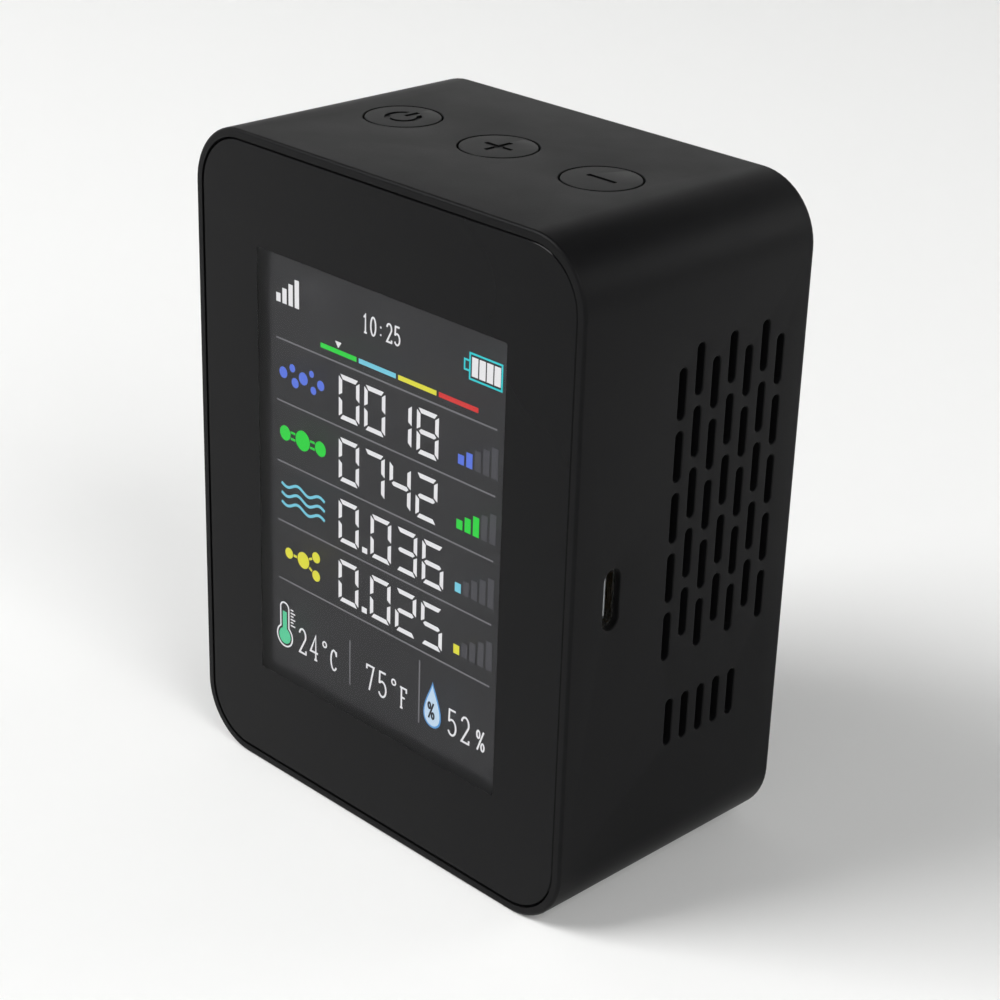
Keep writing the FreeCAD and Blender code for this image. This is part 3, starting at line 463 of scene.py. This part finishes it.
def finish_all_nodes():
    """Gives every CAD node its finish on a welded copy; the lens is made separately."""
    slots = {entry["node"]: entry["material_slot"] for entry in frame["record"]["subparts"]}
    for body, members in frame["record"]["behaviour"]["bodies"].items():
        for node in members:
            if node != "front_lens":
                finished_copy(node, slots[node], body)


# ---------------------------------------------------------------- front lens
def rounded_loop(width, height, radius, centre, y, corner_points=12):
    """A rectangle with round corners in a plane y = constant.

    Corner k of four has its centre at (+-(width/2 - radius), centre +- (height/2 - radius)) and
    its points at that centre plus radius (cos a, sin a), for a from k quarter turns on.
    """
    corner = np.repeat(np.arange(4), corner_points)
    angle = np.tile(np.linspace(0, math.pi / 2, corner_points), 4) + corner * math.pi / 2
    right = np.array([1, -1, -1, 1])[corner]
    up = np.array([1, 1, -1, -1])[corner]
    x = right * (width / 2 - radius) + radius * np.cos(angle)
    z = centre + up * (height / 2 - radius) + radius * np.sin(angle)
    return np.column_stack([x, np.full_like(x, y), z])


def band_faces(first, second, count):
    """Quads between two closed loops of `count` points that start at these numbers."""
    here = np.arange(count)
    after = (here + 1) % count
    return np.column_stack([first + here, second + here, second + after, first + after]).tolist()


def make_front_lens():
    """The lens as nested round-cornered loops.

    In order: the clear window in front, the printed border's edge, the chamfer, the side, and
    the wider clear window behind; quads join each loop to the next and the windows are capped.
    """
    low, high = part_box("front_lens")
    width, height = high.x - low.x, high.z - low.z
    centre = (low.z + high.z) / 2
    corner = LENS_CORNER * MM
    chamfer = LENS_CHAMFER * MM
    clear = np.array(WINDOW) * MM
    spread = clear + 2 * WINDOW_SPREAD * MM
    shape = (WINDOW_CORNER * MM, DISPLAY_CENTRE * MM)
    loops = [
        rounded_loop(*clear, *shape, low.y),
        rounded_loop(width - 2 * chamfer, height - 2 * chamfer, corner - chamfer, centre, low.y),
        rounded_loop(width, height, corner, centre, low.y + chamfer),
        rounded_loop(width, height, corner, centre, high.y),
        rounded_loop(*spread, *shape, high.y),
    ]
    count = len(loops[0])
    number = np.arange(len(loops) * count).reshape(-1, count)
    bands = sum([band_faces(i + count, i, count) for i in number[:-1, 0]], [])
    faces = [number[0, ::-1].tolist()] + bands + [number[-1].tolist()]
    slots = np.zeros(len(faces), np.int32)
    slots[0], slots[-1] = 1, 2
    skins = [finishes["lens_acrylic"], hard_coated_face(), bonded_face()]
    lens = put_mesh("front_lens_finished", np.concatenate(loops), faces, skins, slots)
    face_outwards(lens.data)
    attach(lens, "case")
    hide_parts("front_lens")


# ---------------------------------------------------------------- what the display shows
# Flat shapes are arrays in millimetres from the lit area's top left corner, u right and v down.
# Each becomes a thin closed solid just in front of the display glass: its outline's points, the
# faces that fill it, and the edges that are walled.
def line(*points):
    """A straight-sided stroke through these points."""
    return np.array(points, float)


def bow(cu, cv, ru, rv, start, end, count=20):
    """A stroke along an ellipse: (cu + ru cos a, cv + rv sin a), a between two angles in degrees."""
    angle = np.radians(np.linspace(start, end, count))
    return np.column_stack([cu + ru * np.cos(angle), cv + rv * np.sin(angle)])


def ring(cu, cv, ru, rv):
    """A whole ellipse as a closed stroke."""
    return bow(cu, cv, ru, rv, 0, 360, 28)


def stroke_solid(points, width):
    """A stroke given a width.

    Each point is moved both ways along the mean of its two steps' normals, by half the width
    over the cosine between that mean and one step's normal, which keeps corners mitred.
    """
    closed = np.allclose(points[0], points[-1])
    points = points[:-1] if closed else points
    steps = np.roll(points, -1, 0) - points if closed else np.diff(points, axis=0)
    steps = steps / np.linalg.norm(steps, axis=1)[:, None]
    before = np.roll(steps, 1, 0) if closed else np.vstack([steps[:1], steps])
    after = steps if closed else np.vstack([steps, steps[-1:]])
    mean = np.column_stack([-(before + after)[:, 1], (before + after)[:, 0]])
    mean = mean / np.linalg.norm(mean, axis=1)[:, None]
    normal = np.column_stack([-after[:, 1], after[:, 0]])
    cosine = np.clip((mean * normal).sum(1), 0.5, 1.0)
    offset = mean * (width / 2 / cosine)[:, None]
    count = len(points)
    here = np.arange(count if closed else count - 1)
    onward = (here + 1) % count
    flat = np.column_stack([here, onward, onward + count, here + count])
    rims = [np.column_stack([here, onward]), np.column_stack([onward + count, here + count])]
    if not closed:
        rims.append(np.array([(count, 0), (count - 1, 2 * count - 1)]))
    return np.concatenate([points + offset, points - offset]), flat, np.concatenate(rims)


def filled_solid(points):
    """A filled outline."""
    here = np.arange(len(points))
    return np.asarray(points, float), here[None, :], np.column_stack([here, (here + 1) % len(points)])


def slab(left, top, width, height):
    """A filled rectangle: a corner plus the unit square times width and height."""
    return filled_solid(line((0, 0), (1, 0), (1, 1), (0, 1)) * (width, height) + (left, top))


def ellipse(cu, cv, ru, rv):
    """A filled ellipse."""
    return filled_solid(bow(cu, cv, ru, rv, 0, 360, 33)[:-1])


def droplet(cu, top, width, height, count=48):
    """A filled drop: u = cu + fullness width sin t (sin t/2)^point, v = top + height/2 (1 - cos t)."""
    t = np.linspace(0, math.tau, count, endpoint=False)
    u = cu + DROP_FULLNESS * width * np.sin(t) * np.sin(t / 2) ** DROP_POINT
    return filled_solid(np.column_stack([u, top + height / 2 * (1 - np.cos(t))]))


# Thin seriffed figures and unit signs of height 1 on a cell 0.5 wide, v up from the baseline.
STROKES_OF = {
    "C": [bow(0.26, 0.5, 0.2, 0.5, 42, 318), line((0.42, 0.98), (0.42, 0.74))],
    "F": [
        line((0.04, 1), (0.44, 1), (0.44, 0.82)),
        line((0.13, 0), (0.13, 1)),
        line((0.13, 0.52), (0.34, 0.52)),
        line((0.05, 0), (0.21, 0)),
    ],
    "%": [line((0.07, 0), (0.45, 1)), ring(0.12, 0.78, 0.09, 0.18), ring(0.4, 0.22, 0.09, 0.18)],
    "degree": [ring(0.14, 0.86, 0.1, 0.11)],
    ":": [line((0.17, 0.2), (0.27, 0.2)), line((0.17, 0.62), (0.27, 0.62))],
    "0": [ring(0.25, 0.5, 0.19, 0.5)],
    "1": [line((0.13, 0.82), (0.26, 1), (0.26, 0)), line((0.15, 0), (0.37, 0))],
    "2": [np.vstack([bow(0.25, 0.73, 0.18, 0.27, 165, -25), line((0.08, 0), (0.44, 0), (0.45, 0.14))])],
    "4": [line((0.35, 0), (0.35, 1), (0.05, 0.3), (0.47, 0.3)), line((0.27, 0), (0.43, 0))],
    "5": [np.vstack([line((0.42, 1), (0.11, 1), (0.09, 0.55)), bow(0.24, 0.31, 0.2, 0.31, 130, -150)])],
    "7": [line((0.06, 0.84), (0.07, 1), (0.44, 1), (0.2, 0))],
}


def signs(names, left, base, height, weight=0.085, advance=0.6):
    """Stroke figures in a row; `base` is the baseline's v, and `weight` a share of the height."""
    return [
        stroke_solid(stroke * (height, -height) + (left + i * advance * height, base), weight * height)
        for i, name in enumerate(names)
        for stroke in STROKES_OF[name]
    ]


SEGMENTS_OF = {
    "0": "abcdef",
    "1": "bc",
    "2": "abged",
    "3": "abgcd",
    "4": "fgbc",
    "5": "afgcd",
    "6": "afgedc",
    "7": "abc",
    "8": "abcdefg",
}


def segment_outlines(width, height, thick, gap):
    """The seven bars of a figure, v down from its top left corner.

    The top, one side and the middle bar are drawn; the others are their mirror images,
    u to width - u and v to height - v.
    """
    mid = height / 2
    inner = thick - gap / 2
    waist = thick / 2 - gap / 4
    top = line((gap, 0), (width - gap, 0), (width - thick, inner), (thick, inner))
    side = line((0, gap), (inner, thick), (inner, mid - thick / 2 - gap / 2), (0, mid - gap / 2))
    ends_in = 0.55 * thick
    upper = line((ends_in, mid), (thick, mid - waist), (width - thick, mid - waist))
    lower = line((width - ends_in, mid), (width - thick, mid + waist), (thick, mid + waist))

    def across(outline):
        return outline * (-1, 1) + (width, 0)

    def down(outline):
        return outline * (1, -1) + (0, height)

    return {
        "a": top,
        "b": across(side),
        "c": across(down(side)),
        "d": down(top),
        "e": down(side),
        "f": side,
        "g": np.vstack([upper, lower]),
    }


def figures(text, left, top):
    """Seven-segment figures in a row; a point takes a narrow cell of its own."""
    width, height, pitch = FIGURE
    dot_width, dot_height, dot_step = FIGURE_DOT
    thick, gap = np.array(FIGURE_BAR) * height
    outlines = segment_outlines(width, height, thick, gap)
    solids = []
    for letter in text:
        if letter == ".":
            solids.append(slab(left - dot_width / 4, top + height - dot_height, dot_width, dot_height))
            left += dot_step
        else:
            solids += [filled_solid(outlines[bar] + (left, top)) for bar in SEGMENTS_OF[letter]]
            left += pitch
    return solids


def lit_piece(name, solids, material, lift=0):
    """Joins flat solids into one piece in front of the display glass; `lift` counts layers forward.

    A point (u, v) goes to x = u - width/2 and z = centre + height/2 - v of the lit area, once at
    the layer's near side and once at its far side.
    """
    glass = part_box("lcd_glass")[0].y
    corner = np.array((-ACTIVE[0] / 2, DISPLAY_CENTRE + ACTIVE[1] / 2)) * MM
    sides = glass - (LAYER_GAP + LAYER * np.array((lift + 1, lift))) * MM
    points, faces = [], []
    base = 0
    for outline, flat, rim in solids:
        count = len(outline)
        place = outline * (MM, -MM) + corner
        points += [np.insert(place, 1, side, axis=1) for side in sides]
        faces += (flat + base).tolist() + (flat[:, ::-1] + base + count).tolist()
        a, b = rim.T + base
        faces += np.column_stack([b, a, a + count, b + count]).tolist()
        base += 2 * count
    piece = put_mesh(name, np.concatenate(points), faces, [material])
    face_outwards(piece.data)
    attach(piece, "case")


def dust_sign(v):
    """Seven specks of different sizes, as (u, v, radius)."""
    specks = [(0.9, 0.2, 0.85), (2.9, -1.0, 0.6), (3.5, 1.1, 0.75), (5.3, -0.1, 0.95)]
    specks += [(7.1, -1.35, 0.5), (7.5, 1.05, 0.6), (9.1, -0.2, 0.75)]
    return [ellipse(SIGN_LEFT + u, v + dv, radius, radius) for u, dv, radius in specks]


def triple_sign(v):
    """Three balls in line, joined by two pairs of bars."""
    balls = [(1.2, 1.15), (5.1, 1.55), (9.0, 1.15)]
    bars = [(u, dv) for u in (2.45, 6.75) for dv in (-0.5, 0.5)]
    solids = [ellipse(SIGN_LEFT + u, v, radius, radius) for u, radius in balls]
    return solids + [slab(SIGN_LEFT + u, v + dv - 0.17, 1.0, 0.34) for u, dv in bars]


def vapour_sign(v):
    """Three wavy lines: v = 0.42 sin(1.31 u) on each, for u up to 9.6."""
    u = np.linspace(0, 9.6, 49)
    wave = np.column_stack([SIGN_LEFT + 0.3 + u, v + 0.42 * np.sin(1.31 * u)])
    return [stroke_solid(wave + (0, dv), 0.42) for dv in (-1.5, 0, 1.5)]


def branched_sign(v):
    """A ball in the middle with three smaller ones around it, joined by short bars."""
    hub = np.array([SIGN_LEFT + 5.1, v])
    solids = [ellipse(*hub, 1.3, 1.3)]
    for direction in ((-3.5, 0.0), (2.8, -1.45), (2.8, 1.45)):
        step = np.array(direction) / np.linalg.norm(direction)
        solids.append(stroke_solid(line(hub + step * 1.5, hub + step * 2.2), 0.36))
        solids.append(ellipse(*(hub + step * 3.25), 0.85, 0.85))
    return solids


def level_bars(v, first, last):
    """Rising bars after a reading, standing on v; only those from `first` to `last` are made."""
    width, pitch, lowest, rise = LEVEL_BAR
    heights = [lowest + rise * i for i in range(LEVEL_COUNT)]
    return [slab(LEVEL_LEFT + pitch * i, v - heights[i], width, heights[i]) for i in range(first, last)]


def make_display():
    """Status row, colour scale, four rows of readings and the climate row."""
    colours = {
        "white": "#ffffff",
        "blue": "#5f7ff0",
        "green": "#22e43f",
        "ice": "#7fdcf2",
        "yellow": "#f2ee3c",
        "red": "#e4312d",
        "cyan": "#2fdfe4",
        "grey": "#7c7c7e",
        "dim": "#47474b",
        "mint": "#5fdca4",
        "sky": "#5ea6e6",
        "pale": "#d3ecff",
        "dark": "#0a1420",
    }
    ink = {key: backlit_colour("backlit_" + key, value) for key, value in colours.items()}
    shapes = {key: [] for key in colours}
    white = shapes["white"]
    rule_left, rule_length, rule_thick = RULE

    # status row: signal bars, time, battery with its cap and four full cells
    signal = [1.3 + 0.95 * i for i in range(4)]
    white += [slab(1.9 + 1.35 * i, 6.5 - height, 0.9, height) for i, height in enumerate(signal)]
    white += signs("10:25", 20.2, 5.9, 2.6, 0.1, 0.62)
    shell = line((41.4, 2.8), (47.4, 2.8), (47.4, 6.4), (41.4, 6.4), (41.4, 2.8))
    cap = line((41.4, 3.9), (40.4, 3.9), (40.4, 5.3), (41.4, 5.3))
    shapes["cyan"] += [stroke_solid(shell, 0.26), stroke_solid(cap, 0.26)]
    white += [slab(41.8 + 1.4 * i, 3.25, 1.15, 2.7) for i in range(4)]

    # colour scale with a pointer over its first stretch
    for i, key in enumerate(("green", "ice", "yellow", "red")):
        shapes[key].append(slab(11.5 + 8.05 * i, 10.05, 7.55, 0.7))
    white.append(filled_solid(line((14.6, 8.9), (15.9, 8.9), (15.25, 9.8))))

    # readings: colour, sign, figures and how many of the level bars are lit
    readings = [
        ("blue", dust_sign, "0018", 2),
        ("green", triple_sign, "0742", 3),
        ("ice", vapour_sign, "0.036", 1),
        ("yellow", branched_sign, "0.025", 1),
    ]
    for row, (key, sign, value, level) in enumerate(readings):
        top = ROW_TOP + row * ROW_PITCH
        shapes[key] += sign(top + SIGN_DROP)
        white += figures(value, FIGURE_LEFT, top + FIGURE_DROP)
        shapes[key] += level_bars(top + LEVEL_DROP, 0, level)
        shapes["dim"] += level_bars(top + LEVEL_DROP, level, LEVEL_COUNT)
    rules = [ROW_TOP + row * ROW_PITCH for row in range(len(readings) + 1)]
    shapes["grey"] += [slab(rule_left, v - rule_thick / 2, rule_length, rule_thick) for v in rules]

    # climate row: thermometer with its scale, two temperatures, drop and humidity
    shapes["grey"] += [slab(17.8, 54.6, rule_thick, 7.3), slab(32.7, 51.8, rule_thick, 10.1)]
    bulb = bow(3.1, 59.7, 1.75, 1.75, -58, 238)
    stem = bow(3.1, 55.0, 0.95, 0.9, 180, 360)
    white.append(stroke_solid(np.vstack([bulb, stem, bulb[:1]]), 0.24))
    shapes["mint"] += [ellipse(3.1, 59.7, 1.3, 1.3), slab(2.65, 55.6, 0.9, 3.2)]
    white += [slab(4.5, 54.7 + 0.52 * i, 1.0 if i % 2 else 0.6, 0.2) for i in range(6)]
    for value, left, unit in (("24", 6.2, "C"), ("75", 21.4, "F")):
        white += signs(value, left, CLIMATE_BASE, 4.0, 0.075, 0.66)
        white += signs(["degree"], left + 5.5, CLIMATE_BASE, 4.0, 0.06)
        white += signs(unit, left + 7.3, CLIMATE_BASE, 3.3)
    shapes["sky"].append(droplet(35.6, 54.1, 4.2, 7.4))
    white += signs("52", 38.7, CLIMATE_BASE, 4.0, 0.075, 0.66)
    white += signs("%", 44.6, CLIMATE_BASE, 3.2)

    for key, solids in shapes.items():
        if solids:
            lit_piece("display_" + key, solids, ink[key])
    lit_piece("display_drop_fill", [droplet(35.6, 54.7, 3.6, 6.5)], ink["pale"], 1)
    lit_piece("display_drop_sign", signs("%", 34.75, 60.1, 2.6, 0.12), ink["dark"], 2)


# ---------------------------------------------------------------- socket details
def boxes(centres, size):
    """Boxes of one size in metres: the eight corners are every centre plus or minus half the size."""
    corner = np.indices((2, 2, 2)).reshape(3, -1).T - 0.5
    points = (centres[:, None, :] + corner * size).reshape(-1, 3)
    sides = np.array([(0, 1, 3, 2), (4, 6, 7, 5), (0, 4, 5, 1), (2, 3, 7, 6), (0, 2, 6, 4), (1, 5, 7, 3)])
    first = 8 * np.arange(len(centres))
    return points, (first[:, None, None] + sides).reshape(-1, 4).tolist()


def make_socket_details():
    """Twelve contacts on each side of the socket's tongue and a steel plate along its tip."""
    low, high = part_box("usb_tongue")
    middle = (np.array(low) + np.array(high)) / 2
    size = np.array(CONTACT) * MM
    plate_size = np.array(TIP_PLATE) * MM
    row = np.arange(CONTACT_COUNT) - (CONTACT_COUNT - 1) / 2
    side, z = np.meshgrid((-1, 1), row * CONTACT_PITCH * MM, indexing="ij")
    x = np.full(z.size, high.x - CONTACT_INSET * MM - size[0] / 2)
    y = middle[1] + side.ravel() * (TONGUE_THICKNESS * MM + size[1]) / 2
    contacts = np.column_stack([x, y, middle[2] + z.ravel()])
    tip = np.array([(high.x + plate_size[0] / 2, middle[1], middle[2])])
    pieces = [("usb_contacts", contacts, size, "pin_brass"), ("usb_tip_plate", tip, plate_size, "sensor_can")]
    for name, centres, box_size, slot in pieces:
        piece = put_mesh(name, *boxes(centres, box_size), [finishes[slot]])
        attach(piece, "case")


# ---------------------------------------------------------------- studio
def make_floor():
    """A pale round floor that curves up into a low wall.

    Its profile is turned about Z: flat out to a radius, then r = flat + bend sin a and
    z = bend (1 - cos a) up to upright, then straight up.
    """
    bend = np.linspace(0, math.pi / 2, FLOOR_BEND_STEPS)
    wall = FLOOR_FLAT + FLOOR_BEND
    radius = np.concatenate([[FLOOR_FLAT / 2], FLOOR_FLAT + FLOOR_BEND * np.sin(bend), [wall]])
    height = np.concatenate([[0.0], FLOOR_BEND * (1 - np.cos(bend)), [WALL_TOP]])
    around = np.linspace(0, math.tau, FLOOR_SIDES, endpoint=False)
    x = np.outer(radius, np.cos(around))
    y = np.outer(radius, np.sin(around))
    z = np.outer(height, np.ones(FLOOR_SIDES))
    rings = np.arange(len(radius) - 1) * FLOOR_SIDES
    faces = sum([band_faces(ring_start, ring_start + FLOOR_SIDES, FLOOR_SIDES) for ring_start in rings], [])
    faces.append(np.arange(FLOOR_SIDES).tolist())
    material, tree, sockets, place = start_material("studio_paper", {"IOR": 1.3, "Roughness": 0.9})
    cloud = add_node(tree, NOISE, {"Scale": per(900.0), "Detail": 1.0}, {"Vector": place})
    add_node(tree, MIX, ends("#f2f2f1", "#f5f5f4"), {0: cloud}, 2, sockets["Base Color"])
    points = np.column_stack([x.ravel(), y.ravel(), z.ravel()])
    put_mesh("studio_floor", points, faces, [material])


def area_light(name, place, size, power):
    """A soft square lamp, `size` metres wide and `power` watts strong, that faces the object."""
    data = bpy.data.lights.new(name, "AREA")
    data.size = size
    data.energy = power
    lamp = bpy.data.objects.new(name, data)
    lamp.location = place
    lamp.rotation_euler = (Vector(LAMP_AIM) - Vector(place)).to_track_quat("-Z", "Y").to_euler()
    bpy.context.scene.collection.objects.link(lamp)


def make_world():
    """Surroundings that are pale up to a low elevation and nearly dark above it."""
    world = bpy.data.worlds.new("studio_air")
    world.use_nodes = True
    tree = world.node_tree
    sky = tree.nodes["Background"].inputs
    direction = add_node(tree, "ShaderNodeTexCoord", output="Generated")
    height = add_node(tree, "ShaderNodeSeparateXYZ", {}, {0: direction}, "Z")
    limits = {
        "interpolation_type": "SMOOTHSTEP",
        "From Min": math.sin(math.radians(PALE_UP_TO)),
        "From Max": math.sin(math.radians(DARK_FROM)),
    }
    rise = add_node(tree, RANGE, limits, {"Value": height})
    add_node(tree, MIX, ends("#f4f5f6", "#3a3b3c"), {0: rise}, 2, sky["Color"])
    sky["Strength"].default_value = 0.7
    bpy.context.scene.world = world


def make_camera():
    """A long lens at the three-quarter view: right of the front and above, and rolled a little."""
    azimuth, elevation, roll = np.radians((VIEW_AZIMUTH, VIEW_ELEVATION, VIEW_ROLL))
    level = math.cos(elevation)
    back = Vector((math.sin(azimuth) * level, -math.cos(azimuth) * level, math.sin(elevation)))
    right = Vector((0, 0, 1)).cross(back).normalized()
    up = back.cross(right)
    rolled_right = right * math.cos(roll) + up * math.sin(roll)
    rolled_up = up * math.cos(roll) - right * math.sin(roll)
    middle = (cad_box[0] + cad_box[1]) / 2
    place = middle + back * VIEW_DISTANCE + right * VIEW_ASIDE - up * VIEW_DOWN
    data = bpy.data.cameras.new("camera")
    data.sensor_width = VIEW_SENSOR
    data.lens = VIEW_LENS
    data.clip_start = VIEW_NEAREST
    camera = bpy.data.objects.new("camera", data)
    axes = Matrix((rolled_right, rolled_up, back)).transposed().to_4x4()
    camera.matrix_world = Matrix.Translation(place) @ axes
    bpy.context.scene.collection.objects.link(camera)
    bpy.context.scene.camera = camera


make_floor()
make_world()
make_camera()
area_light("key_softbox", (-1.0, -1.3, 1.7), 1.2, 48.0)
area_light("fill_softbox", (1.6, -0.4, 1.3), 1.0, 17.0)
area_light("rear_softbox", (1.3, 1.9, 0.9), 1.0, 6.0)
bpy.context.scene.view_settings.view_transform = "Standard"

finish_all_nodes()
make_front_lens()
make_display()
make_socket_details()
